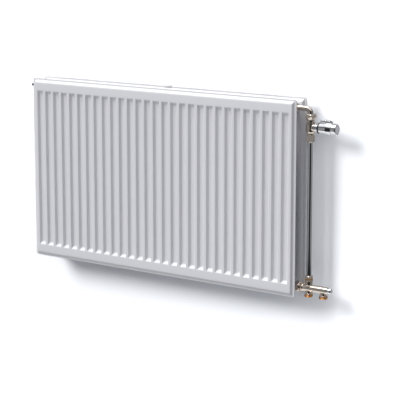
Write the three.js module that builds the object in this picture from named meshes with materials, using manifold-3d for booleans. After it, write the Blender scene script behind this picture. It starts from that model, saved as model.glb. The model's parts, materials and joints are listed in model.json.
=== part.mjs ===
// A wall-hung double-panel steel radiator with a thermostatic valve set on its right-hand end.
//
// Millimetres. +Z is up, the front faces -Y and the wall is the plane y = 0. The origin is on the
// wall, below the middle of the radiator, level with the bottom edge of its panels.
import * as THREE from 'three';
import { mergeVertices } from 'three/addons/utils/BufferGeometryUtils.js';
import Module from 'manifold-3d';

const wasm = await Module();
wasm.setup();

// ---- Driving dimensions ----

// Panels: two pressed sheets each, welded along the rim and along the grooves between waterways
const PANEL_LENGTH = 1000;
const PANEL_HEIGHT = 600;
const GROOVE_COUNT = 29;
const GROOVE_PITCH = PANEL_LENGTH / (GROOVE_COUNT + 1);
const SHEET = 1.25;
const SEAM_GAP = 0.15;
const PANEL_HALF_DEPTH = 8.5;
const RIM_END = 7;
const RIM_TOP = 4;
const BEVEL_END = 4.5;
const BEVEL_TOP = 8;
const CORNER_RADIUS = 6;
const GROOVE_OPENING = 23;
const GROOVE_FLOOR = 11;
const GROOVE_INSET = 36;
const GROOVE_RAMP = 9.5;

// Where the panels stand in front of the wall
const REAR_SEAM_Y = -40;
const PANEL_SPACING = 62;
const FRONT_SEAM_Y = REAR_SEAM_Y - PANEL_SPACING;
const MID_Y = REAR_SEAM_Y - PANEL_SPACING / 2;
const REAR_BACK_Y = REAR_SEAM_Y + PANEL_HALF_DEPTH;

// Ports: a steel tee joins the panels at each corner
const PORT_INSET = 27;
const PORT_TOP = PANEL_HEIGHT - PORT_INSET;
const TEE_X = 462;
const TEE_RADIUS = 12;
const TEE_BORE = 7;
const BOSS_RADIUS = 13.5;
const BOSS_END_X = 484;
const THREAD_BORE = 10.6;
const THREAD_RADIUS = 10.3;

// Valve set: a riser beside the panels, a thermostatic valve on top and a connection block below
const RISER_X = PANEL_LENGTH / 2 + 31;
const TUBE_RADIUS = 8;
const TUBE_BORE = 7;
const ELBOW_RADIUS = 8;
const ELBOW_BORE = 6;
const ELBOW_BEND = 17;
const HEAD_Z = 517;
const OUTLET_SPACING = 50;

// Clearance left between pieces that touch
const GAP = 0.3;

// ---- Materials ----

function material(color, roughness, metalness) {
  return new THREE.MeshStandardMaterial({ color, roughness, metalness });
}

const whitePaint = material(0xe9eaec, 0.35, 0.0);
const nickel = material(0xb5a898, 0.22, 1.0);
const chrome = material(0xd8dade, 0.08, 1.0);
const brass = material(0xb9803c, 0.3, 1.0);
const copper = material(0xb56a34, 0.3, 1.0);
const zincSteel = material(0xa9adb0, 0.4, 1.0);
const springSteel = material(0x8d9094, 0.35, 1.0);
const blackPlastic = material(0x15151a, 0.4, 0.0);
const greyPlastic = material(0xa9abb2, 0.45, 0.0);
const brownPlastic = material(0x4a3a33, 0.6, 0.0);
const blackRubber = material(0x1b1b1d, 0.8, 0.0);
const darkGlass = material(0x0b0b12, 0.05, 0.0);

// ---- Solids: every helper builds along +Z from z = 0 ----

function turned(profile, segments = 16) {
  const points = profile.map(([radius, height]) => new THREE.Vector2(radius, height));
  if (profile[0][0] > 0) points.push(points[0].clone());
  return new THREE.LatheGeometry(points, segments).rotateX(Math.PI / 2);
}

function rod(radius, length, segments = 16) {
  return turned([[0, 0], [radius, 0], [radius, length], [0, length]], segments);
}

function ring(outer, inner, length, segments = 16) {
  return turned([[inner, 0], [outer, 0], [outer, length], [inner, length]], segments);
}

function extruded(shape, depth, curveSegments = 12) {
  return new THREE.ExtrudeGeometry(shape, { depth, bevelEnabled: false, curveSegments });
}

function polygon(points) {
  return new THREE.Shape(points.map(([x, y]) => new THREE.Vector2(x, y)));
}

function hexagon(acrossFlats) {
  const corner = acrossFlats / Math.sqrt(3);
  const angles = [0, 1, 2, 3, 4, 5].map((k) => (k * Math.PI) / 3);
  return polygon(angles.map((a) => [corner * Math.cos(a), corner * Math.sin(a)]));
}

function box(low, high) {
  const size = high.map((value, k) => value - low[k]);
  const centre = high.map((value, k) => (value + low[k]) / 2);
  return new THREE.BoxGeometry(...size).translate(...centre);
}

// ---- Booleans ----

function toSolid(geometry) {
  const bare = geometry.clone();
  bare.deleteAttribute('normal');
  bare.deleteAttribute('uv');
  const welded = mergeVertices(bare, 1e-4);
  const index = Array.from(welded.index.array);
  const triangles = [];
  for (let k = 0; k < index.length; k += 3) {
    const [a, b, c] = index.slice(k, k + 3);
    if (a !== b && b !== c && c !== a) triangles.push(a, b, c);
  }
  const vertProperties = welded.attributes.position.array;
  const triVerts = Uint32Array.from(triangles);
  return new wasm.Manifold(new wasm.Mesh({ numProp: 3, vertProperties, triVerts }));
}

function toGeometry(solid) {
  const mesh = solid.getMesh();
  const geometry = new THREE.BufferGeometry();
  geometry.setAttribute('position', new THREE.BufferAttribute(mesh.vertProperties, 3));
  geometry.setIndex(new THREE.BufferAttribute(mesh.triVerts, 1));
  geometry.computeVertexNormals();
  return geometry;
}

function join(...geometries) {
  return toGeometry(geometries.map(toSolid).reduce((a, b) => a.add(b)));
}

function cut(geometry, ...tools) {
  return toGeometry(tools.map(toSolid).reduce((a, b) => a.subtract(b), toSolid(geometry)));
}

function overlap(a, b) {
  return toGeometry(toSolid(a).intersect(toSolid(b)));
}

function hexNut(acrossFlats, length, hollow) {
  // hollow is the turned shape taken out of the nut; the two ends are chamfered
  const corner = acrossFlats / Math.sqrt(3);
  const flat = acrossFlats / 2;
  const chamfer = [[0, 0], [flat, 0], [corner, 2], [corner, length - 2], [flat, length], [0, length]];
  return cut(overlap(extruded(hexagon(acrossFlats), length), turned(chamfer)), hollow);
}

// ---- Placing ----

const TURN = {
  up: [0, 0, 0],
  down: [Math.PI, 0, 0],
  right: [0, Math.PI / 2, 0],
  left: [0, -Math.PI / 2, 0],
  front: [Math.PI / 2, 0, 0],
};

function place(group, name, geometry, finish, position = [0, 0, 0], direction = 'up') {
  const mesh = new THREE.Mesh(geometry, finish);
  mesh.name = name;
  mesh.position.set(...position);
  mesh.rotation.set(...TURN[direction]);
  group.add(mesh);
  return mesh;
}

// ---- Pressed panel sheets ----

function roundedRectangle(halfLength, bottom, top, radius) {
  const steps = 3;
  const centres = [
    [halfLength - radius, bottom + radius, -Math.PI / 2],
    [halfLength - radius, top - radius, 0],
    [radius - halfLength, top - radius, Math.PI / 2],
    [radius - halfLength, bottom + radius, Math.PI],
  ];
  const points = [];
  for (const [x, y, start] of centres) {
    for (let k = 0; k <= steps; k++) {
      const angle = start + (k / steps) * (Math.PI / 2);
      points.push([x + radius * Math.cos(angle), y + radius * Math.sin(angle)]);
    }
  }
  return points;
}

function rectangle(centreX, width, bottom, top) {
  const left = centreX - width / 2;
  const right = centreX + width / 2;
  return [[left, bottom], [right, bottom], [right, top], [left, top]];
}

// A closed solid between two convex outlines that have the same number of points
function loft(lower, lowerHeight, upper, upperHeight) {
  const positions = [];
  const bottom = lower.map(([x, y]) => [x, y, lowerHeight]);
  const top = upper.map(([x, y]) => [x, y, upperHeight]);
  for (let k = 1; k < bottom.length - 1; k++) {
    positions.push(...bottom[0], ...bottom[k + 1], ...bottom[k]);
    positions.push(...top[0], ...top[k], ...top[k + 1]);
  }
  for (let k = 0; k < bottom.length; k++) {
    const next = (k + 1) % bottom.length;
    positions.push(...bottom[k], ...bottom[next], ...top[next]);
    positions.push(...bottom[k], ...top[next], ...top[k]);
  }
  const geometry = new THREE.BufferGeometry();
  geometry.setAttribute('position', new THREE.Float32BufferAttribute(positions, 3));
  return geometry;
}

// The space that a groove takes out of the raised face, running a little past it
function grooveSpace(x, low, high) {
  const past = 1;
  const grow = 1 + past / (high - low);
  const side = GROOVE_FLOOR + (GROOVE_OPENING - GROOVE_FLOOR) * grow;
  const foot = GROOVE_INSET + GROOVE_RAMP;
  const head = foot - GROOVE_RAMP * grow;
  const floor = rectangle(x, GROOVE_FLOOR, foot, PANEL_HEIGHT - foot);
  return loft(floor, low, rectangle(x, side, head, PANEL_HEIGHT - head), high + past);
}

// Everything between the seam and a formed surface with a raised, grooved face
function formedSolid(low, high) {
  const insetX = RIM_END + BEVEL_END;
  const insetY = RIM_TOP + BEVEL_TOP;
  const half = PANEL_LENGTH / 2;
  const rim = roundedRectangle(half - RIM_END, RIM_TOP, PANEL_HEIGHT - RIM_TOP, CORNER_RADIUS - 2);
  const face = roundedRectangle(half - insetX, insetY, PANEL_HEIGHT - insetY, CORNER_RADIUS - 4);
  const spaces = [];
  for (let k = 0; k < GROOVE_COUNT; k++) {
    spaces.push(grooveSpace((k - (GROOVE_COUNT - 1) / 2) * GROOVE_PITCH, low, high));
  }
  return cut(loft(rim, low, face, high), ...spaces);
}

// A sheet seen face on: x along the panel, y up it, z away from the weld seam
function pressedSheet() {
  const outside = SEAM_GAP + SHEET;
  const edge = roundedRectangle(PANEL_LENGTH / 2, 0, PANEL_HEIGHT, CORNER_RADIUS);
  const base = loft(edge, SEAM_GAP, edge, outside);
  const raised = formedSolid(outside, PANEL_HALF_DEPTH);
  const hollow = formedSolid(SEAM_GAP, PANEL_HALF_DEPTH - SHEET);
  return cut(join(base, raised), hollow);
}

// The sheets that face the gap between the panels have a water hole at each corner tee
function portedSheet() {
  const holes = [];
  for (const x of [-TEE_X, TEE_X]) {
    for (const y of [PORT_INSET, PORT_TOP]) {
      holes.push(rod(TEE_BORE, 2 * PANEL_HALF_DEPTH).translate(x, y, 0));
    }
  }
  return cut(pressedSheet(), ...holes);
}

function addPanel(group, name, seamY, facingGap) {
  const front = facingGap === 'front' ? portedSheet() : pressedSheet();
  const back = facingGap === 'back' ? portedSheet() : pressedSheet();
  place(group, `${name}_front_sheet`, front, whitePaint, [0, seamY, 0], 'front');
  const backMesh = place(group, `${name}_back_sheet`, back, whitePaint, [0, seamY, 0]);
  backMesh.rotation.set(Math.PI / 2, Math.PI, 0);
}

// ---- Convector: one corrugated sheet behind the front panel ----

const FIN_COUNT = 25;
const FIN_DEPTH = 34;
const FIN_CREST = 9;
const FIN_LEAN = 2.5;
const FIN_SHEET = 0.8;
const FIN_BOTTOM = 42;
const FIN_TOP = PANEL_HEIGHT - FIN_BOTTOM;

function offsetLine(points, distance) {
  return points.map(([x, y], k) => {
    const before = points[Math.max(k - 1, 0)];
    const after = points[Math.min(k + 1, points.length - 1)];
    const normals = [[before, [x, y]], [[x, y], after]]
      .map(([p, q]) => [p[1] - q[1], q[0] - p[0]])
      .filter(([nx, ny]) => Math.hypot(nx, ny) > 0)
      .map(([nx, ny]) => [nx / Math.hypot(nx, ny), ny / Math.hypot(nx, ny)]);
    const sum = normals.reduce((a, b) => [a[0] + b[0], a[1] + b[1]]);
    const length = Math.hypot(...sum);
    const mean = [sum[0] / length, sum[1] / length];
    const stretch = mean[0] * normals[0][0] + mean[1] * normals[0][1];
    return [x + (mean[0] * distance) / stretch, y + (mean[1] * distance) / stretch];
  });
}

function addConvector(group) {
  const line = [];
  for (let k = 0; k < FIN_COUNT; k++) {
    const x = (k - (FIN_COUNT - 1) / 2) * GROOVE_PITCH;
    const crest = FIN_CREST / 2;
    line.push([x - crest - FIN_LEAN, FIN_DEPTH - FIN_SHEET], [x - crest, 0]);
    line.push([x + crest, 0], [x + crest + FIN_LEAN, FIN_DEPTH - FIN_SHEET]);
  }
  const outline = [...line, ...offsetLine(line, FIN_SHEET).reverse()];
  const fins = extruded(polygon(outline), FIN_TOP - FIN_BOTTOM);
  const y = FRONT_SEAM_Y + PANEL_HALF_DEPTH + GAP;
  place(group, 'convector_fins', fins, whitePaint, [0, y, FIN_BOTTOM]);
}

// ---- Corner tees and plugs ----

function teeGeometry(side) {
  // A tube from panel to panel with a threaded boss towards the end of the radiator
  const length = PANEL_SPACING - 2 * PANEL_HALF_DEPTH - 2 * GAP;
  const tube = rod(TEE_RADIUS, length).translate(0, 0, -length / 2).rotateX(Math.PI / 2);
  const tubeBore = rod(TEE_BORE, length + 2).translate(0, 0, -length / 2 - 1).rotateX(Math.PI / 2);
  const reach = BOSS_END_X - TEE_X;
  const threadStart = TEE_BORE - 2;
  const boss = rod(BOSS_RADIUS, reach).rotateY((side * Math.PI) / 2);
  const thread = rod(THREAD_BORE, reach).translate(0, 0, threadStart).rotateY((side * Math.PI) / 2);
  return cut(join(tube, boss), tubeBore, thread);
}

function addTees(group) {
  const rows = [['bottom', PORT_INSET], ['top', PORT_TOP]];
  const sides = [['left', -1], ['right', 1]];
  for (const [row, z] of rows) {
    for (const [side, sign] of sides) {
      const position = [sign * TEE_X, MID_Y, z];
      place(group, `port_tee_${row}_${side}`, teeGeometry(sign), whitePaint, position);
    }
  }
}

const PLUG_THREAD = 13;
const PLUG_SEAL = 2;
const PLUG_FLATS = 22;

function addPlugSeal(group, name, z) {
  const seal = ring(BOSS_RADIUS - 0.5, THREAD_BORE, PLUG_SEAL);
  place(group, name, seal, blackRubber, [-BOSS_END_X - GAP, MID_Y, z], 'left');
}

function addAirVent(group) {
  // Measured outwards from the end of the boss
  const seat = PLUG_SEAL + 2 * GAP;
  const shoulder = seat + 7;
  const neck = shoulder + 12;
  const end = neck + 14;
  const screwHole = 2.7;
  const turnedPart = turned([
    [screwHole, -PLUG_THREAD], [THREAD_RADIUS, -PLUG_THREAD], [THREAD_RADIUS, seat],
    [PLUG_FLATS / 2, seat], [PLUG_FLATS / 2, shoulder], [8, shoulder], [7, neck], [5, neck],
    [4.4, end], [screwHole, end],
  ]);
  const nut = cut(extruded(hexagon(PLUG_FLATS), shoulder - seat).translate(0, 0, seat), rod(9, end));
  const x = -BOSS_END_X;
  place(group, 'vent_plug', join(turnedPart, nut), nickel, [x, MID_Y, PORT_TOP], 'left');
  addPlugSeal(group, 'vent_plug_seal', PORT_TOP);
  const stem = turned([[0, -14], [2.4, -14], [2.4, GAP], [4.5, GAP], [4.5, 11], [3.5, 12], [0, 12]]);
  const slot = box([-6, -0.6, 9.5], [6, 0.6, 14]);
  place(group, 'vent_screw', cut(stem, slot), blackPlastic, [x - end, MID_Y, PORT_TOP], 'left');
}

function addBlindPlug(group) {
  const seat = PLUG_SEAL + 2 * GAP;
  const thread = rod(THREAD_RADIUS, PLUG_THREAD + seat + 1).translate(0, 0, -PLUG_THREAD);
  const flange = extruded(hexagon(PLUG_FLATS + 4), 5).translate(0, 0, seat);
  const keyHole = extruded(hexagon(8), 12).translate(0, 0, seat - 3);
  const plug = cut(join(thread, flange), keyHole);
  place(group, 'blind_plug', plug, nickel, [-BOSS_END_X, MID_Y, PORT_INSET], 'left');
  addPlugSeal(group, 'blind_plug_seal', PORT_INSET);
}

// ---- Spacer clip over the middle of the rear panel's top seam ----

const CLIP_WIDTH = 22;

function addSpacer(group) {
  const seamHalf = SEAM_GAP + SHEET;
  const inner = seamHalf + GAP;
  const outer = inner + 1.5;
  const top = PANEL_HEIGHT + 3;
  const leg = PANEL_HEIGHT - RIM_TOP;
  const hook = polygon([
    [-outer, leg], [-inner, leg], [-inner, PANEL_HEIGHT + GAP], [inner, PANEL_HEIGHT + GAP],
    [inner, leg], [outer, leg], [outer, top], [-outer, top],
  ]);
  const clip = extruded(hook, CLIP_WIDTH).translate(0, 0, -CLIP_WIDTH / 2);
  clip.rotateX(Math.PI / 2).rotateZ(Math.PI / 2);
  place(group, 'seam_clip', clip, whitePaint, [0, REAR_SEAM_Y, 0]);
  const reach = PANEL_SPACING / 2 - PANEL_HALF_DEPTH - GAP;
  const block = box([-9, -reach, -14], [9, reach, 0]);
  place(group, 'panel_spacer', block, brownPlastic, [0, MID_Y, PANEL_HEIGHT - 14]);
}

// ---- Hanging lugs and wall brackets ----

const LUG_X = 366;
const LUG_WIDTH = 30;
const LUG_SHEET = 2.5;
const LUG_TOPS = [['bottom', 112], ['top', 528]];
const TONGUE_FRONT = 15;
const TONGUE_LENGTH = 22;
const BRACKET_WIDTH = 34;
const BRACKET_BOTTOM = 50;
const BRACKET_TOP = 560;
const HOOK_REACH = 26;
const HOOK_DROP = 5.5;
const SCREW_HOLE = 4.5;

// Profiles are drawn with x as the distance in front of the wall and y up, then run along X
function alongX(shape, width) {
  return extruded(shape, width).translate(0, 0, -width / 2).rotateX(Math.PI / 2).rotateZ(-Math.PI / 2);
}

function lugGeometry() {
  const panel = -REAR_BACK_Y - GAP;
  const foot = panel - LUG_SHEET;
  const tongue = TONGUE_FRONT + LUG_SHEET;
  return alongX(polygon([
    [panel, 0], [panel, 16], [foot, 16], [foot, LUG_SHEET], [TONGUE_FRONT, LUG_SHEET],
    [TONGUE_FRONT, -TONGUE_LENGTH], [tongue, -TONGUE_LENGTH], [tongue, 0],
  ]), LUG_WIDTH);
}

function hookPoints(lugTop) {
  const arm = lugTop - TONGUE_LENGTH - HOOK_DROP;
  const lip = arm + 16;
  const back = HOOK_REACH - LUG_SHEET;
  const plate = LUG_SHEET;
  return [
    [plate, arm], [HOOK_REACH, arm], [HOOK_REACH, lip], [back, lip],
    [back, arm + LUG_SHEET], [plate, arm + LUG_SHEET],
  ];
}

function bracketGeometry() {
  const hooks = LUG_TOPS.flatMap(([, lugTop]) => hookPoints(lugTop));
  const strip = alongX(polygon([
    [0, BRACKET_BOTTOM], [LUG_SHEET, BRACKET_BOTTOM], ...hooks,
    [LUG_SHEET, BRACKET_TOP], [0, BRACKET_TOP],
  ]), BRACKET_WIDTH);
  const holes = [BRACKET_BOTTOM + 22, BRACKET_TOP - 16].map((z) => {
    const hole = rod(SCREW_HOLE, 2 * LUG_SHEET).rotateX(Math.PI / 2);
    return hole.translate(0, LUG_SHEET / 2, z);
  });
  return cut(strip, ...holes);
}

function linerGeometry(lugTop) {
  // A plastic cradle in the hook that the lug's tongue stands in
  const bottom = lugTop - TONGUE_LENGTH - HOOK_DROP + LUG_SHEET + GAP;
  const floor = lugTop - TONGUE_LENGTH - GAP;
  const front = HOOK_REACH - LUG_SHEET - GAP;
  const slotFront = TONGUE_FRONT + LUG_SHEET + GAP;
  const slotBack = TONGUE_FRONT - GAP;
  const back = slotBack - 3;
  return alongX(polygon([
    [back, bottom], [front, bottom], [front, bottom + 11], [slotFront, bottom + 11],
    [slotFront, floor], [slotBack, floor], [slotBack, bottom + 9], [back, bottom + 9],
  ]), BRACKET_WIDTH - 6);
}

function addHanging(group) {
  for (const [side, x] of [['left', -LUG_X], ['right', LUG_X]]) {
    place(group, `wall_bracket_${side}`, bracketGeometry(), zincSteel, [x, 0, 0]);
    for (const [row, lugTop] of LUG_TOPS) {
      place(group, `hanging_lug_${row}_${side}`, lugGeometry(), whitePaint, [x, 0, lugTop]);
      place(group, `bracket_liner_${row}_${side}`, linerGeometry(lugTop), blackPlastic, [x, 0, 0]);
    }
  }
}

// ---- Top of the valve set: the elbow and its union. x is measured from the riser's axis ----

// Straight from a start point along +X, round a quarter bend, then straight down
class ElbowCurve extends THREE.Curve {
  constructor(startX, endZ) {
    super();
    this.startX = startX;
    this.first = -ELBOW_BEND - startX;
    this.bend = (ELBOW_BEND * Math.PI) / 2;
    this.last = PORT_TOP - ELBOW_BEND - endZ;
  }

  getPoint(t, target = new THREE.Vector3()) {
    const travelled = t * (this.first + this.bend + this.last);
    const straight = Math.min(travelled, this.first);
    const turn = Math.min(Math.max(travelled - this.first, 0), this.bend) / ELBOW_BEND;
    const drop = Math.max(travelled - this.first - this.bend, 0);
    const x = this.startX + straight + ELBOW_BEND * Math.sin(turn);
    const z = PORT_TOP - ELBOW_BEND * (1 - Math.cos(turn)) - drop;
    return target.set(x, 0, z);
  }
}

function bentRod(radius, curve, sides) {
  const shape = new THREE.Shape().absarc(0, 0, radius, 0, 2 * Math.PI);
  return new THREE.ExtrudeGeometry(shape, { steps: 18, extrudePath: curve, curveSegments: sides / 2 });
}

const UNION_COLLAR = 12.3;
const UNION_BORE = 13;
const UNION_THREAD = 12.7;
const UNION_SEAL = 1.4;
const TOP_UNION_Z = 548.5;

function addElbow(group) {
  const startX = TEE_X + TEE_BORE + 2 - RISER_X;
  const boss = BOSS_END_X - RISER_X;
  const outer = bentRod(ELBOW_RADIUS, new ElbowCurve(startX, TOP_UNION_Z), 16);
  const bore = bentRod(ELBOW_BORE, new ElbowCurve(startX - 1, TOP_UNION_Z - 1), 10);
  const thread = rod(THREAD_RADIUS, boss - startX).rotateY(Math.PI / 2).translate(startX, 0, PORT_TOP);
  const collar = rod(UNION_COLLAR, 3).translate(0, 0, TOP_UNION_Z);
  place(group, 'elbow_tail', cut(join(outer, thread, collar), bore), nickel);

  const sealBottom = TOP_UNION_Z - GAP - UNION_SEAL;
  place(group, 'top_union_seal', ring(12.4, 7, UNION_SEAL), blackRubber, [0, 0, sealBottom]);

  const nutBottom = 542;
  const nutLength = 15;
  const shelf = TOP_UNION_Z + 3 + GAP - nutBottom;
  const hollow = turned([
    [0, -1], [UNION_BORE, -1], [UNION_BORE, shelf], [ELBOW_RADIUS + GAP, shelf],
    [ELBOW_RADIUS + GAP, nutLength + 1], [0, nutLength + 1],
  ]);
  place(group, 'top_union_nut', hexNut(32, nutLength, hollow), nickel, [0, 0, nutBottom]);
}

// ---- Thermostatic valve ----

const BODY_TOP = TOP_UNION_Z - 2 * GAP - UNION_SEAL;
const BODY_BOTTOM = 482;
const BODY_BORE = 6.5;
const BRANCH_END = 26;
const BRANCH_RADIUS = 10.8;
const INSERT_BORE = 7.5;
const COMPRESSION_THREAD = 10;

function addValveBody(group) {
  const barrel = turned([
    [0, BODY_BOTTOM], [COMPRESSION_THREAD, BODY_BOTTOM], [COMPRESSION_THREAD, 499], [14, 503],
    [14.5, 508], [14.5, 526], [13, 531], [11.5, 534], [11.5, 541],
    [UNION_THREAD, 541.5], [UNION_THREAD, BODY_TOP], [0, BODY_TOP],
  ]);
  const branch = turned([
    [0, 0], [13, 0], [12, 14], [BRANCH_RADIUS, 14.5], [BRANCH_RADIUS, BRANCH_END], [0, BRANCH_END],
  ]);
  branch.rotateY(Math.PI / 2).translate(0, 0, HEAD_Z);
  const bore = rod(BODY_BORE, 100).translate(0, 0, BODY_BOTTOM - 1);
  const socket = rod(TUBE_RADIUS + GAP, 10).translate(0, 0, BODY_BOTTOM - 3);
  const insertBore = rod(INSERT_BORE, BRANCH_END).rotateY(Math.PI / 2).translate(4, 0, HEAD_Z);
  place(group, 'valve_body', cut(join(barrel, branch), bore, socket, insertBore), nickel);
}

const SPRING_WIRE_RADIUS = 0.45;

class SpringCurve extends THREE.Curve {
  constructor(radius, length, turns) {
    super();
    this.radius = radius;
    this.length = length;
    this.turns = turns;
  }

  getPoint(t, target = new THREE.Vector3()) {
    const angle = t * this.turns * 2 * Math.PI;
    return target.set(this.radius * Math.cos(angle), this.radius * Math.sin(angle), t * this.length);
  }
}

function addValveInsert(group) {
  const guide = 2.4;
  const insertEnd = BRANCH_END + 0.8;
  const insert = turned([
    [guide, 8.4], [7.2, 8.4], [7.2, BRANCH_END], [6, insertEnd], [guide, insertEnd],
  ]);
  place(group, 'valve_insert', insert, brass, [0, 0, HEAD_Z], 'right');
  place(group, 'valve_disc', rod(5, 3), blackRubber, [-0.6, 0, HEAD_Z], 'right');
  const pin = turned([[0, 2.7], [3.2, 2.7], [3.2, 3.6], [2, 3.6], [2, 33], [0, 33]]);
  place(group, 'valve_pin', pin, springSteel, [0, 0, HEAD_Z], 'right');
  const wire = new THREE.Shape().absarc(0, 0, SPRING_WIRE_RADIUS, 0, 2 * Math.PI);
  const coil = new THREE.ExtrudeGeometry(wire, {
    steps: 20, extrudePath: new SpringCurve(4, 2.2, 2.5), curveSegments: 3,
  });
  place(group, 'return_spring', coil, springSteel, [5.5, 0, HEAD_Z], 'right');
}

// ---- Thermostatic head: everything is measured along +X from the riser's axis ----

const COLLAR_START = 15;
const COLLAR_END = 27;
const BASE_RING_LENGTH = 5;
const HEAD_START = COLLAR_END + BASE_RING_LENGTH + 2 * GAP;
const JOINT_X = 73;
const HEAD_END = 89;
const HEAD_SIDES = 24;
const SLEEVE_BORE = 14.9;
const WINDOW_HALF_HEIGHT = 5.3;
const WINDOW_START = 56;
const WINDOW_END = 71.5;
const DRUM_START = 52;
const DRUM_RADIUS = 14.5;
const DRUM_BORE = 13.3;
const KNOB_RADIUS = 17;
const DISC_RADIUS = 12.1;
const TAB_WIDTH = 9;

function windowBox(margin) {
  const low = [-WINDOW_HALF_HEIGHT + margin, -22, WINDOW_START + margin];
  const high = [WINDOW_HALF_HEIGHT - margin, -10, WINDOW_END - margin];
  return box(low, high);
}

function sleeveGeometry() {
  const end = JOINT_X - GAP;
  return cut(turned([
    [SLEEVE_BORE, HEAD_START], [17, HEAD_START], [17.6, 42], [18.6, 54], [19, 62],
    [18.6, 70], [17.6, end], [SLEEVE_BORE, end],
  ], HEAD_SIDES), windowBox(0));
}

// The knob carries a drum inside the sleeve, behind the window, and a recess for the end disc
function knobGeometry() {
  const recess = DISC_RADIUS + GAP;
  const shelf = HEAD_END - 2.5;
  const wallEnd = HEAD_END - 5;
  return turned([
    [DRUM_BORE, DRUM_START], [DRUM_RADIUS, DRUM_START], [DRUM_RADIUS, JOINT_X],
    [KNOB_RADIUS, JOINT_X], [KNOB_RADIUS, wallEnd], [16, HEAD_END - 1.5], [14, HEAD_END],
    [recess, HEAD_END], [recess, shelf], [9, shelf], [9, wallEnd], [DRUM_BORE, wallEnd],
  ], HEAD_SIDES);
}

function discGeometry() {
  const back = HEAD_END - 2.2;
  return turned([[0, back], [DISC_RADIUS, back], [DISC_RADIUS, HEAD_END - 0.6], [0, HEAD_END - 0.2]]);
}

// The tab stands on top of the sleeve and slopes down to the joint
function tabGeometry() {
  const outline = [[34.5, 19.3], [72, 19.3], [72, 20.6], [65.5, 24.8], [37, 25.3], [34.5, 24]];
  return extruded(polygon(outline), TAB_WIDTH).translate(0, 0, -TAB_WIDTH / 2).rotateX(Math.PI / 2);
}

function addHead(group) {
  const axis = [0, 0, HEAD_Z];
  const collar = turned([
    [11.2, COLLAR_START], [12.2, COLLAR_START], [13.4, 18], [13.4, 26], [12.8, COLLAR_END],
    [11.2, COLLAR_END],
  ]);
  place(group, 'head_collar', collar, chrome, axis, 'right');
  const baseRing = ring(16.6, 5, BASE_RING_LENGTH).translate(0, 0, COLLAR_END + GAP);
  place(group, 'head_base_ring', baseRing, blackPlastic, axis, 'right');
  place(group, 'head_sleeve', sleeveGeometry(), chrome, axis, 'right');
  const pane = overlap(ring(18.2, 16.6, 40, 48).translate(0, 0, 45), windowBox(GAP));
  place(group, 'scale_window', pane, darkGlass, axis, 'right');
  const sensor = turned([[0, 34.5], [4, 34.5], [4, 37], [11, 38], [11, 60], [10, 61], [0, 61]]);
  place(group, 'sensor_cartridge', sensor, copper, axis, 'right');
  place(group, 'setting_knob', knobGeometry(), chrome, axis, 'right');
  place(group, 'knob_end_disc', discGeometry(), greyPlastic, axis, 'right');
  place(group, 'indicator_tab', tabGeometry(), chrome, axis);
}

// ---- Riser and its compression joints ----

const BLOCK_Z = PORT_INSET;
const PORT_NECK_TOP = 56;
const RISER_BOTTOM = 47.5;
const RISER_TOP = 487;

// A nut with a threaded bore below its shelf and the tube's hole above it
function compressionNut(acrossFlats, length, shelf) {
  const hole = TUBE_RADIUS + GAP;
  const threadBore = COMPRESSION_THREAD + GAP;
  const hollow = turned([
    [0, -1], [threadBore, -1], [threadBore, shelf], [hole, shelf], [hole, length + 1], [0, length + 1],
  ]);
  return hexNut(acrossFlats, length, hollow);
}

function addRiser(group) {
  const riser = ring(TUBE_RADIUS, TUBE_BORE, RISER_TOP - RISER_BOTTOM);
  place(group, 'riser_tube', riser, chrome, [0, 0, RISER_BOTTOM]);
  const oliveLength = 3.2;
  const olive = turned([
    [8.2, 0], [9.1, 0], [9.8, oliveLength / 2], [9.1, oliveLength], [8.2, oliveLength],
  ]);
  const upperNut = compressionNut(24, 22, 17);
  place(group, 'upper_compression_nut', upperNut, nickel, [0, 0, 495], 'down');
  place(group, 'upper_olive', olive, brass, [0, 0, BODY_BOTTOM - GAP - oliveLength]);
  const lowerNut = compressionNut(24, 16, 11);
  place(group, 'lower_compression_nut', lowerNut, nickel, [0, 0, 50]);
  place(group, 'lower_olive', olive.clone(), brass, [0, 0, PORT_NECK_TOP + GAP]);
}

// ---- Connection block at the bottom ----

const BLOCK_RADIUS = 11;
const BLOCK_END = 64;
const OUTLET_FACE = 1;
const OUTLET_RADIUS = 13.2;
const OUTLET_BORE = 6.5;
const NECK_RADIUS = 9.5;
const NIPPLE_TOP = 7.7;

function addTailpiece(group) {
  const start = TEE_X + TEE_BORE + 2 - RISER_X;
  const boss = BOSS_END_X - RISER_X;
  const nutStart = boss + 4;
  const end = nutStart + 7.5;
  const profile = [
    [6.5, start], [THREAD_RADIUS, start], [THREAD_RADIUS, boss + GAP], [UNION_THREAD, boss + GAP],
    [UNION_THREAD, end], [6.5, end],
  ];
  place(group, 'block_tailpiece', turned(profile), nickel, [0, 0, BLOCK_Z], 'right');
  place(group, 'block_union_seal', ring(12.4, 7, 0.9), blackRubber, [end + GAP, 0, BLOCK_Z], 'right');
  const collarStart = end + 2 * GAP + 0.9;
  const shelf = collarStart + 3 + GAP - nutStart;
  const length = 15;
  const hollow = turned([
    [0, -1], [UNION_BORE, -1], [UNION_BORE, shelf], [10.3, shelf], [10.3, length + 1], [0, length + 1],
  ]);
  place(group, 'block_union_nut', hexNut(30, length, hollow), nickel, [nutStart, 0, BLOCK_Z], 'right');
  return collarStart;
}

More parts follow.
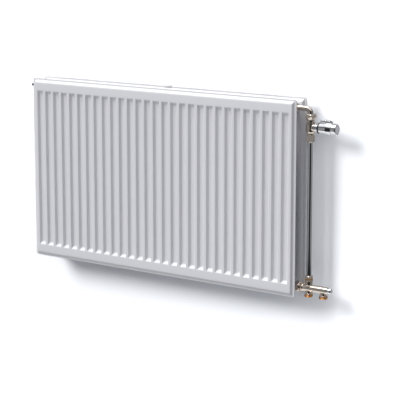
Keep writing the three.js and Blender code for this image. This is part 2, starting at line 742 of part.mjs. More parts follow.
function addBlock(group, collarStart) {
  const tube = turned([
    [0, collarStart], [UNION_COLLAR, collarStart], [UNION_COLLAR, collarStart + 3], [10, collarStart + 3],
    [10, -26], [12.5, -22], [BLOCK_RADIUS, -16], [BLOCK_RADIUS, BLOCK_END], [0, BLOCK_END],
  ]).rotateY(Math.PI / 2).translate(0, 0, BLOCK_Z);
  const port = turned([
    [0, BLOCK_Z], [11, BLOCK_Z], [12, 38], [12, 49], [COMPRESSION_THREAD, 49.5],
    [COMPRESSION_THREAD, PORT_NECK_TOP], [0, PORT_NECK_TOP],
  ]);
  const flangeFace = NIPPLE_TOP + GAP;
  const outlets = [0, OUTLET_SPACING].map((x) => turned([
    [0, flangeFace], [OUTLET_RADIUS, flangeFace], [OUTLET_RADIUS, 11], [NECK_RADIUS, 11.6],
    [NECK_RADIUS, BLOCK_Z], [0, BLOCK_Z],
  ]).translate(x, 0, 0));
  const along = (radius, from, to) => {
    return rod(radius, to - from).rotateY(Math.PI / 2).translate(from, 0, BLOCK_Z);
  };
  const upright = (radius, x, from, to) => rod(radius, to - from).translate(x, 0, from);
  const block = cut(
    join(tube, port, ...outlets),
    along(7, collarStart - 1, BLOCK_END - 7),
    along(7.5, BLOCK_END - 8, BLOCK_END + 1),
    upright(TUBE_BORE, 0, BLOCK_Z, PORT_NECK_TOP + 1),
    upright(TUBE_RADIUS + GAP, 0, RISER_BOTTOM - GAP, PORT_NECK_TOP + 1),
    upright(OUTLET_BORE, 0, NIPPLE_TOP - 1, BLOCK_Z),
    upright(OUTLET_BORE, OUTLET_SPACING, NIPPLE_TOP - 1, BLOCK_Z),
  );
  place(group, 'block_body', block, nickel);
}

function addOutlets(group) {
  const nipple = turned([
    [5, OUTLET_FACE], [7.5, OUTLET_FACE], [OUTLET_RADIUS - 1, OUTLET_FACE], [OUTLET_RADIUS, OUTLET_FACE + 1],
    [OUTLET_RADIUS, NIPPLE_TOP], [6.2, NIPPLE_TOP], [6.2, 15], [5, 15],
  ]);
  place(group, 'outlet_nipple_inner', nipple, copper);
  place(group, 'outlet_nipple_outer', nipple.clone(), copper, [OUTLET_SPACING, 0, 0]);
}

function addBypass(group) {
  const axis = [0, 0, BLOCK_Z];
  place(group, 'bypass_plug', rod(6.6, 5).translate(0, 0, 22), blackPlastic, axis, 'right');
  const keyHole = extruded(hexagon(4), 6).translate(0, 0, 69);
  place(group, 'bypass_spindle', cut(rod(3.5, 42).translate(0, 0, 30), keyHole), brass, axis, 'right');
  const gland = turned([[3.9, BLOCK_END - 6.5], [7.2, BLOCK_END - 6.5], [7.2, 71], [3.9, 71]]);
  place(group, 'bypass_gland', gland, brass, axis, 'right');
  const capStart = BLOCK_END + GAP;
  const cap = turned([
    [7.6, capStart], [9.2, capStart], [9.2, 73], [8, 76.5], [5, 78.5], [0, 79],
    [0, 75], [5.5, 74], [7.6, 72.5],
  ]);
  place(group, 'block_end_cap', cap, chrome, axis, 'right');
}

// ---- The whole radiator ----

const radiator = new THREE.Group();
addPanel(radiator, 'front_panel', FRONT_SEAM_Y, 'back');
addPanel(radiator, 'rear_panel', REAR_SEAM_Y, 'front');
addConvector(radiator);
addTees(radiator);
addAirVent(radiator);
addBlindPlug(radiator);
addSpacer(radiator);
addHanging(radiator);

const valveSet = new THREE.Group();
valveSet.position.set(RISER_X, MID_Y, 0);
radiator.add(valveSet);
addElbow(valveSet);
addValveBody(valveSet);
addValveInsert(valveSet);
addHead(valveSet);
addRiser(valveSet);
addBlock(valveSet, addTailpiece(valveSet));
addOutlets(valveSet);
addBypass(valveSet);

export default radiator;
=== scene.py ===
"""Looks of a wall-hung double panel radiator with a thermostatic valve set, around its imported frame."""
import json
import math

import bmesh
import bpy
import numpy as np
from mathutils import Matrix, Vector

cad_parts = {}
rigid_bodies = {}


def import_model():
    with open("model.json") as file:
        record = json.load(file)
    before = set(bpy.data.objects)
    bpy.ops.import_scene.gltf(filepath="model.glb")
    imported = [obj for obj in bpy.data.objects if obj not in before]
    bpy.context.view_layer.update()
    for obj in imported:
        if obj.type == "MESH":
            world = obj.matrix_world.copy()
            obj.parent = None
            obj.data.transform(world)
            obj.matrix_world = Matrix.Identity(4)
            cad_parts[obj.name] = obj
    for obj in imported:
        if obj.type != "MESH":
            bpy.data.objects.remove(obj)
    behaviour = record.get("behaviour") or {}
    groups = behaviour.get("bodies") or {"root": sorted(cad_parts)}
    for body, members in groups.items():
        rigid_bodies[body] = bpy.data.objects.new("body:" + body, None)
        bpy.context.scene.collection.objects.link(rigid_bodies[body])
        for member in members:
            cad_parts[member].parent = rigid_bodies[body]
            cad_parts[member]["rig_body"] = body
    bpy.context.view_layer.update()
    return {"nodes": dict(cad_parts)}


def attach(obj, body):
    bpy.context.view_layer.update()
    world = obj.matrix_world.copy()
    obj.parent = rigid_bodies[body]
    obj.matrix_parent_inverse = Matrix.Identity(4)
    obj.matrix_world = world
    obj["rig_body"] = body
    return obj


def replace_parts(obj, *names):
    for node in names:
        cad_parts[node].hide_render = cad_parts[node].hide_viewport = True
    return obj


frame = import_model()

NODES = frame["nodes"]
SLOT_OF = {name: node.data.materials[0].name for name, node in NODES.items()}

# ---- Driving dimensions, in millimetres, in the frame's own axes ----

MM = 0.001
PANEL_LENGTH = 1000
PANEL_HEIGHT = 600
GROOVE_COUNT = 29
GROOVE_PITCH = PANEL_LENGTH / (GROOVE_COUNT + 1)
GROOVE_HALF_WIDTH = 12      # a groove is this wide at its rim, and its flank this long across
GROOVE_FLANK = 5
GROOVE_START = 39.5         # from the sheet's edge, where a groove starts to deepen
GROOVE_RUN_OUT = 9
SHEET = 1.25
SEAM_GAP = 0.15
WELD_GAP = 0.3
PANEL_HALF_DEPTH = 8.5
RIM_END = 7                 # flat flange and then bevel: at the ends, and at the top and bottom
RIM_TOP = 4
BEVEL_END = 4.5
BEVEL_TOP = 8
RIM_FOOT = 0.14     # the part of the bevel's height that curves into the flange
CORNER_RADIUS = 6
FRONT_SEAM_Y = -102
REAR_SEAM_Y = -40
MID_Y = -71
PORT_TOP = 573
PORT_BOTTOM = 27
TEE_X = 462
BOSS_END_X = 484
VENT_LENGTH = 35.6
RISER_X = 531
HEAD_Z = 517
OUTLET_SPACING = 50
TURN_STEPS = 96
BAR_STEPS = 64
STRAIGHT = math.radians(86)     # half angle of a corner too flat to round


# ---- Procedural materials ----

RELIEF_DEPTH = 0.0002    # metres, as is the blur at a band's edges
BAND_BLUR = 0.0003


def node(tree, kind, inputs=None, **settings):
    """Adds a node; each input is a value or another node's socket."""
    made = tree.nodes.new(kind)
    for key, value in settings.items():
        setattr(made, key, value)
    for key, value in (inputs or {}).items():
        if isinstance(value, bpy.types.NodeSocket):
            tree.links.new(value, made.inputs[key])
        else:
            made.inputs[key].default_value = value
    return made


def noise(tree, scale, detail=3.0):
    """Noise over the piece's own surface; scale is in waves per metre."""
    place = node(tree, "ShaderNodeTexCoord").outputs["Object"]
    source = {"Vector": place, "Scale": scale, "Detail": detail}
    return node(tree, "ShaderNodeTexNoise", source).outputs["Fac"]


def ramp(tree, value, low, high, from_low=0.3, from_high=0.7):
    """Turns a value between from_low and from_high into one between low and high."""
    limits = {"Value": value, "From Min": from_low, "From Max": from_high, "To Min": low, "To Max": high}
    return node(tree, "ShaderNodeMapRange", limits).outputs[0]


def mixed(tree, factor, first, second):
    """Blends two colours, each an (r, g, b) or a socket."""
    made = node(tree, "ShaderNodeMix", data_type="RGBA")
    tree.links.new(factor, made.inputs[0])
    for socket, colour in ((made.inputs[6], first), (made.inputs[7], second)):
        if isinstance(colour, bpy.types.NodeSocket):
            tree.links.new(colour, socket)
        else:
            socket.default_value = (*colour, 1)
    return made.outputs[2]


def surface(name, colours, roughness, metallic=0.0, blotch=6.0, grain=900.0, bump=0.1, **sockets):
    """A finish: two close colours in soft blotches, a roughness that varies, and a fine relief.
    blotch and grain are in waves per metre; bump is the relief's strength."""
    made = bpy.data.materials.new(name)
    made.use_nodes = True
    tree = made.node_tree
    shader = tree.nodes["Principled BSDF"]
    tree.links.new(mixed(tree, noise(tree, blotch), *colours), shader.inputs["Base Color"])
    tree.links.new(ramp(tree, noise(tree, blotch * 5), *roughness), shader.inputs["Roughness"])
    shader.inputs["Metallic"].default_value = metallic
    relief = {"Height": noise(tree, grain, 2.0), "Strength": bump, "Distance": RELIEF_DEPTH}
    tree.links.new(node(tree, "ShaderNodeBump", relief).outputs[0], shader.inputs["Normal"])
    for key, value in sockets.items():
        shader.inputs[key.replace("_", " ")].default_value = value
    return made


def tint_band(material, axis, low, high, colour):
    """Shows another colour where the piece lies between two heights, in millimetres, along an axis."""
    tree = material.node_tree
    shader = tree.nodes["Principled BSDF"]
    base = shader.inputs["Base Color"].links[0].from_socket
    place = node(tree, "ShaderNodeTexCoord").outputs["Object"]
    along = node(tree, "ShaderNodeSeparateXYZ", {0: place}).outputs[axis]
    half = (high - low) / 2 * MM
    off = node(tree, "ShaderNodeMath", {0: along, 1: (low + high) / 2 * MM}, operation="SUBTRACT")
    size = node(tree, "ShaderNodeMath", {0: off.outputs[0]}, operation="ABSOLUTE")
    inside = ramp(tree, size.outputs[0], 1.0, 0.0, half - BAND_BLUR, half + BAND_BLUR)
    tree.links.new(mixed(tree, inside, base, colour), shader.inputs["Base Color"])
    return material


def nickel(name):
    """Nickel plate over brass: warm, and nearly smooth."""
    colours = [(0.74, 0.65, 0.57), (0.82, 0.73, 0.65)]
    return surface(name, colours, (0.14, 0.22), metallic=1.0, blotch=60.0, bump=0.02)


def galvanised():
    """Zinc with a faint spangle."""
    made = surface(
        "galvanised", [(0.50, 0.52, 0.54), (0.60, 0.62, 0.64)], (0.28, 0.5), metallic=1.0, bump=0.15)
    tree = made.node_tree
    shader = tree.nodes["Principled BSDF"]
    place = node(tree, "ShaderNodeTexCoord").outputs["Object"]
    spangle = node(tree, "ShaderNodeTexVoronoi", {"Vector": place, "Scale": 130.0}).outputs["Color"]
    grey = node(tree, "ShaderNodeRGBToBW", {0: spangle}).outputs[0]
    base = shader.inputs["Base Color"].links[0].from_socket
    light = ramp(tree, grey, 0.0, 0.45, 0.1, 0.9)
    tree.links.new(mixed(tree, light, base, (0.74, 0.76, 0.78)), shader.inputs["Base Color"])
    return made


FINISH = {
    "white_paint": surface(
        "powder_coat", [(0.80, 0.80, 0.825), (0.83, 0.83, 0.855)], (0.30, 0.42),
        blotch=3.0, grain=700.0, bump=0.12,
        Specular_IOR_Level=0.5, Coat_Weight=0.15, Coat_Roughness=0.25),
    "nickel_plate": nickel("nickel"),
    "chrome_plate": surface(
        "chrome", [(0.86, 0.87, 0.89), (0.90, 0.91, 0.93)], (0.03, 0.08),
        metallic=1.0, blotch=20.0, bump=0.02),
    "raw_brass": surface(
        "raw_brass", [(0.70, 0.42, 0.16), (0.80, 0.52, 0.24)], (0.2, 0.38), metallic=1.0, blotch=80.0),
    "copper_tone": surface(
        "bare_brass_rim", [(0.62, 0.27, 0.07), (0.76, 0.38, 0.13)], (0.2, 0.36),
        metallic=1.0, blotch=90.0),
    "zinc_steel": galvanised(),
    "spring_steel": surface(
        "spring_steel", [(0.40, 0.41, 0.43), (0.52, 0.53, 0.55)], (0.2, 0.35), metallic=1.0),
    "black_plastic": surface(
        "black_plastic", [(0.012, 0.012, 0.016), (0.022, 0.022, 0.028)], (0.3, 0.45),
        blotch=40.0, bump=0.2),
    "grey_plastic": surface(
        "grey_plastic", [(0.84, 0.84, 0.87), (0.90, 0.90, 0.93)], (0.35, 0.5), blotch=30.0, bump=0.15),
    # The dark brown goes on the spacer block between the panels, and stands for the shade under the seam clip: a
    # real piece in shape, painted shade in colour
    "brown_plastic": surface(
        "brown_plastic", [(0.09, 0.065, 0.05), (0.14, 0.10, 0.08)], (0.45, 0.6), blotch=60.0, bump=0.2),
    "black_rubber": surface(
        "black_rubber", [(0.016, 0.016, 0.017), (0.03, 0.03, 0.031)], (0.65, 0.85),
        blotch=90.0, bump=0.3),
    "window_plastic": surface(
        "smoked_window", [(0.05, 0.05, 0.07), (0.07, 0.07, 0.09)], (0.03, 0.07), blotch=30.0, bump=0.01,
        Transmission_Weight=0.75, IOR=1.4),
}
DIAL_PRINT = surface("dial_print", [(0.80, 0.80, 0.82), (0.88, 0.88, 0.90)], (0.45, 0.55), blotch=200.0)
# Nickel with an orange band round the lower compression nut, between 54 and 58 mm up
ORANGE_BANDED_NICKEL = tint_band(nickel("nickel_orange_band"), 2, 54.0, 58.0, (0.72, 0.40, 0.14))


# ---- Objects ----

def linked(name, data):
    """A new object in the scene."""
    made = bpy.data.objects.new(name, data)
    bpy.context.scene.collection.objects.link(made)
    return made


def raw_object(name, points, faces):
    """An object from points in millimetres and lists of faces."""
    mesh = bpy.data.meshes.new(name)
    mesh.from_pydata([tuple(MM * c for c in p) for p in points], [], faces)
    mesh.validate()
    made = linked(name, mesh)
    clean = bmesh.new()
    clean.from_mesh(mesh)
    bmesh.ops.remove_doubles(clean, verts=clean.verts, dist=1e-7)
    bmesh.ops.recalc_face_normals(clean, faces=clean.faces)
    clean.to_mesh(mesh)
    clean.free()
    return made


def applied_mesh(made):
    """A new mesh of the object as its modifiers or its curves show it."""
    graph = bpy.context.evaluated_depsgraph_get()
    return bpy.data.meshes.new_from_object(made.evaluated_get(graph))


def settle(made):
    """Applies an object's modifiers."""
    mesh = applied_mesh(made)
    made.modifiers.clear()
    made.data = mesh
    return made


def combine(base, *others, operation="UNION"):
    """Adds the others to the base, or cuts it by them, and removes them."""
    for other in others:
        change = base.modifiers.new("combine", "BOOLEAN")
        change.operation = operation
        change.solver = "EXACT"
        change.object = other
        settle(base)
        bpy.data.objects.remove(other)
    return base


def finish_piece(made, cad_node, finish=None, slot=None, sharp=30):
    """Smooths a piece, gives it its finish and ties it to the CAD node's body."""
    slot = slot or SLOT_OF[cad_node]
    made.data.materials.clear()
    made.data.materials.append(finish or FINISH[slot])
    for polygon in made.data.polygons:
        polygon.material_index = 0
        polygon.use_smooth = True
    made.data.set_sharp_from_angle(angle=math.radians(sharp))
    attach(made, NODES[cad_node]["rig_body"])
    return made


def stand_in(made, cad_node, **options):
    """The piece takes the CAD node's place."""
    made.name = f"{cad_node}_fine"
    finish_piece(made, cad_node, **options)
    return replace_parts(made, cad_node)


def softened(points, radius, steps=4):
    """A closed outline of (radius, height, hexagon) points with its corners rounded."""
    rounded = []
    for k, corner in enumerate(points):
        before, after = points[k - 1], points[(k + 1) % len(points)]
        here = Vector(corner[:2])
        legs = [Vector(before[:2]) - here, Vector(after[:2]) - here]
        lengths = [leg.length for leg in legs]
        if corner[0] < 1e-6 or min(lengths) < 1e-6:
            rounded.append(corner)
            continue
        cosine = max(-1.0, min(1.0, legs[0].dot(legs[1]) / (lengths[0] * lengths[1])))
        half = math.acos(cosine) / 2
        if half > STRAIGHT:
            rounded.append(corner)
            continue
        reach = min(radius / max(math.tan(half), 1e-3), 0.45 * min(lengths), 3 * radius)
        ends = [here + leg.normalized() * reach for leg in legs]
        for j in range(steps + 1):
            t = j / steps
            point = (1 - t) ** 2 * ends[0] + 2 * t * (1 - t) * here + t * t * ends[1]
            rounded.append((point.x, point.y, corner[2]))
    return rounded


def hexagon_radius(across_flats, angle):
    """Distance from a hexagon's centre to its edge, in one direction."""
    sector = angle % (math.pi / 3) - math.pi / 6
    return across_flats / 2 / math.cos(sector)


DIRECTION = {
    "up": Matrix.Identity(3),
    "down": Matrix.Rotation(math.pi, 3, "X"),
    "right": Matrix.Rotation(math.pi / 2, 3, "Y"),
    "left": Matrix.Rotation(-math.pi / 2, 3, "Y"),
    "back": Matrix.Rotation(-math.pi / 2, 3, "X"),
}


def turned(name, profile, centre, direction="up", soften=0.5, steps=TURN_STEPS):
    """Turns a closed outline of (radius, height) points round its axis. A third number on a point is a
    hexagon's width: above 0 the point stays inside that hexagon, below 0 it follows it."""
    outline = [(*p, 0)[:3] for p in profile]
    if soften:
        outline = softened(outline, soften)
    turn = DIRECTION[direction]
    points = []
    for k in range(steps):
        angle = 2 * math.pi * k / steps
        for radius, height, flats in outline:
            if flats > 0:
                radius = min(radius, hexagon_radius(flats, angle))
            elif flats < 0:
                radius = hexagon_radius(-flats, angle)
            spot = turn @ Vector((radius * math.cos(angle), radius * math.sin(angle), height))
            points.append(spot + Vector(centre))
    count = len(outline)
    faces = []
    for k in range(steps):
        row, following = k * count, ((k + 1) % steps) * count
        for j in range(count):
            after = (j + 1) % count
            faces.append((row + j, following + j, following + after, row + after))
    return raw_object(name, points, faces)


def nut(name, flats, length, inner, centre, direction="up", *, chamfer, waist=None, steps=6):
    """A hexagon nut with arcs at both ends. inner is the outline of its bore, from the far end back, and
    waist is the radius that the near end tapers to."""
    corner = flats / math.sqrt(3)
    end = flats / 2 - 0.2
    low, high = chamfer
    outer = [(waist or end, 0), (corner, low), (corner, length - high), (end, length)]
    outline = []
    for first, second in zip(outer, outer[1:]):
        for t in (k / steps for k in range(steps)):
            outline.append((*(a + t * (b - a) for a, b in zip(first, second)), flats))
    outline.append((*outer[-1], flats))
    outline += [(radius, height, 0) for radius, height in inner]
    return turned(name, outline, centre, direction, soften=0.25)


def swept(name, path, radii, steps=BAR_STEPS):
    """A closed round bar along a path that lies in the plane y = constant."""
    points, faces = [], []
    side = Vector((0, 1, 0))
    for k, (spot, radius) in enumerate(zip(path, radii)):
        ahead = path[min(k + 1, len(path) - 1)]
        behind = path[max(k - 1, 0)]
        along = Vector((ahead[0] - behind[0], 0, ahead[2] - behind[2])).normalized()
        up = along.cross(side)
        for j in range(steps):
            angle = 2 * math.pi * j / steps
            points.append(Vector(spot) + radius * (math.cos(angle) * side + math.sin(angle) * up))
    for k in range(len(path) - 1):
        row, following = k * steps, (k + 1) * steps
        for j in range(steps):
            after = (j + 1) % steps
            faces.append((row + j, row + after, following + after, following + j))
    faces.append(tuple(range(steps)))
    faces.append(tuple((len(path) - 1) * steps + j for j in range(steps)))
    return raw_object(name, points, faces)


def box(name, low, high):
    """A block between two corners."""
    xs, ys, zs = zip(low, high)
    corners = [(x, y, z) for x in xs for y in ys for z in zs]
    faces = [(0, 1, 3, 2), (4, 6, 7, 5), (0, 4, 5, 1), (2, 3, 7, 6), (0, 2, 6, 4), (1, 5, 7, 3)]
    return raw_object(name, corners, faces)


def eased(made, width, steps=3, angle=30):
    """Rounds an object's edges."""
    change = made.modifiers.new("ease", "BEVEL")
    change.width = width * MM
    change.segments = steps
    change.limit_method = "ANGLE"
    change.angle_limit = math.radians(angle)
    change.use_clamp_overlap = True
    return settle(made)


def refined(cad_node, width):
    """A copy of a CAD node with its bends and edges rounded, which takes the node's place."""
    mesh = NODES[cad_node].data.copy()
    clean = bmesh.new()
    clean.from_mesh(mesh)
    bmesh.ops.remove_doubles(clean, verts=clean.verts, dist=1e-6)
    bmesh.ops.dissolve_limit(clean, angle_limit=math.radians(2), verts=clean.verts, edges=clean.edges)
    clean.to_mesh(mesh)
    clean.free()
    return stand_in(eased(linked(cad_node, mesh), width, angle=20), cad_node)


# ---- Panels ----

def soft_low(a, b, softness):
    """The lower of two values, with the crease between them rounded."""
    mix = np.clip(0.5 + 0.5 * (b - a) / softness, 0, 1)
    return b * (1 - mix) + a * mix - softness * mix * (1 - mix)


def groove_lines():
    """Places across the panel where its shape changes: ends, rims and every groove."""
    half = PANEL_LENGTH / 2
    edge = [0, 2, 4, 5.5, RIM_END, 8, 9, 10, 11, RIM_END + BEVEL_END, 13, 15]
    lines = [-half + e for e in edge] + [half - e for e in edge]
    flank = [5.4, *np.linspace(6.6, 12.4, 10), 13.4]
    for k in range(GROOVE_COUNT):
        centre = (k - (GROOVE_COUNT - 1) / 2) * GROOVE_PITCH
        lines += [centre] + [centre + s * f for f in flank for s in (-1, 1)]
    return np.array(sorted(lines))


def height_lines():
    """Places up the panel: dense at the rims and where the grooves run out."""
    edge = [0, 2, RIM_TOP - 0.5, RIM_TOP + 0.8, 6, 7.5, 9, 10.5, RIM_TOP + BEVEL_TOP - 0.5, 13, 16]
    edge += [37.8, 39.2, 39.8, 40.8, 42, 43.2, 44.4, 45.6, 46.8, 47.8, 48.4, 49, 50.5]
    lines = edge + [PANEL_HEIGHT - e for e in edge] + [PANEL_HEIGHT * s for s in (0.25, 0.5, 0.75)]
    return np.array(sorted(lines))


def pressed_height(x, z):
    """How far the sheet stands out of its flange, from 0 to 1: bevelled rims and flat grooves."""
    from_end = PANEL_LENGTH / 2 - np.abs(x)
    from_edge = np.minimum(z, PANEL_HEIGHT - z)
    end_rise = (from_end - RIM_END) / BEVEL_END
    edge_rise = (from_edge - RIM_TOP) / BEVEL_TOP
    rim = soft_low(soft_low(end_rise, edge_rise, 0.35), 1.0, 0.28)
    rim = np.maximum(rim, 0)
    rim = np.where(rim < RIM_FOOT, rim * rim / (2 * RIM_FOOT), rim - RIM_FOOT / 2) / (1 - RIM_FOOT / 2)
    nearest = np.clip(np.round(x / GROOVE_PITCH), -(GROOVE_COUNT - 1) / 2, (GROOVE_COUNT - 1) / 2)
    off = np.abs(x - nearest * GROOVE_PITCH)
    across = (GROOVE_HALF_WIDTH - off) / GROOVE_FLANK
    ends = (from_edge - GROOVE_START) / GROOVE_RUN_OUT
    groove = np.maximum(soft_low(soft_low(across, ends, 0.04), 1.0, 0.08), 0)
    return np.clip(rim, 0, 1) * (1 - np.clip(groove, 0, 1))


def rounded_corners(x, z):
    """Bends the sheet's outline round its four corners."""
    half, radius = PANEL_LENGTH / 2, CORNER_RADIUS
    a = np.clip((np.abs(x) - half + radius) / radius, 0, 1)
    mid = PANEL_HEIGHT / 2
    b = np.clip((np.abs(z - mid) - mid + radius) / radius, 0, 1)
    new_a, new_b = a * np.sqrt(1 - b * b / 2), b * np.sqrt(1 - a * a / 2)
    new_x = np.where(a > 0, np.sign(x) * (half - radius + radius * new_a), x)
    new_z = np.where(b > 0, mid + np.sign(z - mid) * (mid - radius + radius * new_b), z)
    return new_x, new_z


def panel_sheet(cad_node, seam_y, side):
    """One pressed sheet; side is -1 where it faces the front and +1 where it faces the wall."""
    xs, zs = groove_lines(), height_lines()
    x, z = np.meshgrid(xs, zs)
    height = pressed_height(x, z)
    x, z = rounded_corners(x, z)
    outer = seam_y + side * (SEAM_GAP + SHEET + (PANEL_HALF_DEPTH - SEAM_GAP - SHEET) * height)
    inner = outer - side * SHEET
    skins = [np.stack([x, skin, z], axis=-1).reshape(-1, 3) for skin in (outer, inner)]
    rows, columns = x.shape
    index = np.arange(rows * columns).reshape(rows, columns)
    quads = np.stack([index[:-1, :-1], index[:-1, 1:], index[1:, 1:], index[1:, :-1]], axis=-1)
    quads = quads.reshape(-1, 4)
    border = list(index[0, :-1]) + list(index[:-1, -1]) + list(index[-1, :0:-1]) + list(index[:0:-1, 0])
    count = rows * columns
    faces = quads.tolist() + (quads[:, ::-1] + count).tolist()
    for k, first in enumerate(border):
        second = border[(k + 1) % len(border)]
        faces.append([int(second), int(first), int(first) + count, int(second) + count])
    return stand_in(raw_object(cad_node, np.concatenate(skins).tolist(), faces), cad_node, sharp=45)


panel_sheet("front_panel_front_sheet", FRONT_SEAM_Y, -1)
panel_sheet("front_panel_back_sheet", FRONT_SEAM_Y, 1)
panel_sheet("rear_panel_front_sheet", REAR_SEAM_Y, -1)
panel_sheet("rear_panel_back_sheet", REAR_SEAM_Y, 1)


# ---- Convector: one corrugated sheet ----

FIN_COUNT = 25
FIN_SHEET = 0.8
FIN_BOTTOM = 42
FIN_CREST = 4.13    # half the width of a crest and of the channel's mouth, at mid sheet
FIN_MOUTH = 6.63
FIN_BEND = 1.8
FIN_FRONT_Y = FRONT_SEAM_Y + PANEL_HALF_DEPTH + WELD_GAP + FIN_SHEET / 2
FIN_BACK_Y = FIN_FRONT_Y + 33.2


def bent_line(corners, reach, steps=4):
    """An open line through (x, y) corners, with its bends rounded."""
    corners = [np.array(corner, float) for corner in corners]
    line = [corners[0]]
    for before, corner, after in zip(corners, corners[1:], corners[2:]):
        start = corner + (before - corner) * reach / np.linalg.norm(before - corner)
        end = corner + (after - corner) * reach / np.linalg.norm(after - corner)
        for t in np.linspace(0, 1, steps + 1):
            line.append((1 - t) ** 2 * start + 2 * t * (1 - t) * corner + t ** 2 * end)
    return np.array(line + [corners[-1]])


def convector():
    """The sheet along its middle line, with four points at each station: both faces, bottom and top."""
    corners = []
    for k in range(FIN_COUNT):
        x = (k - (FIN_COUNT - 1) / 2) * GROOVE_PITCH
        corners += [(x - FIN_MOUTH, FIN_BACK_Y), (x - FIN_CREST, FIN_FRONT_Y)]
        corners += [(x + FIN_CREST, FIN_FRONT_Y), (x + FIN_MOUTH, FIN_BACK_Y)]
    line = bent_line(corners, FIN_BEND)
    along = np.gradient(line, axis=0)
    normal = np.stack([-along[:, 1], along[:, 0]], axis=-1) / np.linalg.norm(along, axis=-1)[:, None]
    points, faces = [], []
    for (x, y), (nx, ny) in zip(line, normal * FIN_SHEET / 2):
        for z in (FIN_BOTTOM, PANEL_HEIGHT - FIN_BOTTOM):
            points += [(x - nx, y - ny, z), (x + nx, y + ny, z)]
    for a in range(0, len(points) - 4, 4):
        b = a + 4
        faces += [[a, b, b + 2, a + 2], [a + 1, a + 3, b + 3, b + 1]]
        faces += [[a + 2, b + 2, b + 3, a + 3], [a, a + 1, b + 1, b]]
    last = len(points) - 4
    faces += [[0, 2, 3, 1], [last, last + 1, last + 3, last + 2]]
    return raw_object("convector_fins", points, faces)


stand_in(convector(), "convector_fins", sharp=45)
refined("seam_clip", 0.5)
# The spacer block is a real distance piece in shape; its dark brown finish is painted shade, standing for the
# shade under the seam clip
refined("panel_spacer", 1.5)
for side in ("left", "right"):
    refined(f"wall_bracket_{side}", 0.8)
    for row in ("bottom", "top"):
        refined(f"hanging_lug_{row}_{side}", 0.9)
        refined(f"bracket_liner_{row}_{side}", 0.5)


# ---- Corner tees and plugs ----

def tee(row, side, z):
    """A water tube between the panels with a port boss towards the end of the radiator."""
    sign = -1 if side == "left" else 1
    centre = (sign * TEE_X, MID_Y, z)
    reach = (REAR_SEAM_Y - FRONT_SEAM_Y) / 2 - PANEL_HALF_DEPTH - WELD_GAP
    tube = turned("tube", [(0, -reach), (12, -reach), (12, reach), (0, reach)], centre, "back", 0.3)
    boss = [(0, 0), (13.5, 0), (13.5, 22), (10.6, 22), (10.6, 10), (0, 10)]
    stub = turned("boss", boss, centre, side, 0.4)
    stand_in(combine(tube, stub), f"port_tee_{row}_{side}")


for row, z in (("bottom", PORT_BOTTOM), ("top", PORT_TOP)):
    for side in ("left", "right"):
        tee(row, side, z)


def plug_seal(cad_node, z):
    """A flat ring between a left-hand boss and its plug."""
    outline = [(10.6, 0.3), (13, 0.3), (13, 2.3), (10.6, 2.3)]
    stand_in(turned(cad_node, outline, (-BOSS_END_X, MID_Y, z), "left", 0.5), cad_node)


def threaded(radius, start, end, pitch, depth):
    """The outline of a thread's ridges, drawn as rings."""
    points, count = [], int((end - start) / pitch)
    for k in range(count):
        low = start + k * pitch
        points += [(radius - depth, low), (radius - depth, low + 0.15 * pitch)]
        points += [(radius, low + 0.5 * pitch), (radius, low + 0.65 * pitch)]
    return points + [(radius - depth, start + count * pitch)]


vent = turned("vent_plug", [
    (2.7, -13), (10.3, -13), (10.3, 2.6), (11.4, 2.6, 22), (12.7, 3.8, 22), (12.7, 8.4, 22),
    (11.0, 9.6, 22), (8, 9.9), (7.6, 12), (7.6, 14), (8, 14.6), (8, 16), (7, 20), (7, 21.6), (5, 21.6),
    (4.8, 30), (4.4, VENT_LENGTH), (2.7, VENT_LENGTH)], (-BOSS_END_X, MID_Y, PORT_TOP), "left", 0.35)
stand_in(vent, "vent_plug")
plug_seal("vent_plug_seal", PORT_TOP)
plug_seal("blind_plug_seal", PORT_BOTTOM)

screw_x = -BOSS_END_X - VENT_LENGTH
screw = turned("vent_screw", [
    (0, -14), (2.4, -14), (2.4, 0.3), (4.2, 0.3), (4.5, 1), (4.5, 10.6), (3.6, 12), (0, 12)],
    (screw_x, MID_Y, PORT_TOP), "left", 0.5)
slot = box("slot", (screw_x - 13, MID_Y - 0.6, PORT_TOP - 6), (screw_x - 9.5, MID_Y + 0.6, PORT_TOP + 6))
combine(screw, slot, operation="DIFFERENCE")
stand_in(screw, "vent_screw")

blind = turned("blind_plug", [
    (0, -13), (10.3, -13), (10.3, 2.6), (12.6, 2.6, 26), (15, 3.6, 26), (15, 6.4, 26), (13, 7.6, 26),
    (5.2, 7.6), (4.4, 6.8, -8), (4.4, -0.4, -8), (0, -0.4)],
    (-BOSS_END_X, MID_Y, PORT_BOTTOM), "left", 0.25)
stand_in(blind, "blind_plug")


# ---- Elbow and union at the top ----

AXIS = (RISER_X, MID_Y, 0)
ELBOW_BEND = 17


def elbow_stations():
    """(x, z, radius) along the bent tube: its thread, shoulder, bend and the collar inside the nut."""
    tube = 8
    straight = [(471, 10.2), (477, 10.2), (484, 10.2), (484.3, 10.4), (487.5, 10.4), (488.3, 9.6)]
    straight += [(x, tube) for x in (488.9, 492, 498, 504, 509)]
    stations = [(x, PORT_TOP, radius) for x, radius in straight]
    corner_x, corner_z = RISER_X - ELBOW_BEND, PORT_TOP - ELBOW_BEND
    for k in range(25):
        angle = math.pi / 2 * (1 - k / 24)
        x, z = corner_x + ELBOW_BEND * math.cos(angle), corner_z + ELBOW_BEND * math.sin(angle)
        stations.append((x, z, tube))
    collar = [(554, tube), (551.8, tube), (551.6, 12.2), (548.5, 12.2)]
    return stations + [(RISER_X, z, radius) for z, radius in collar]


stations = elbow_stations()
path = [(x, MID_Y, z) for x, z, _ in stations]
stand_in(swept("elbow_tail", path, [radius for _, _, radius in stations]), "elbow_tail")

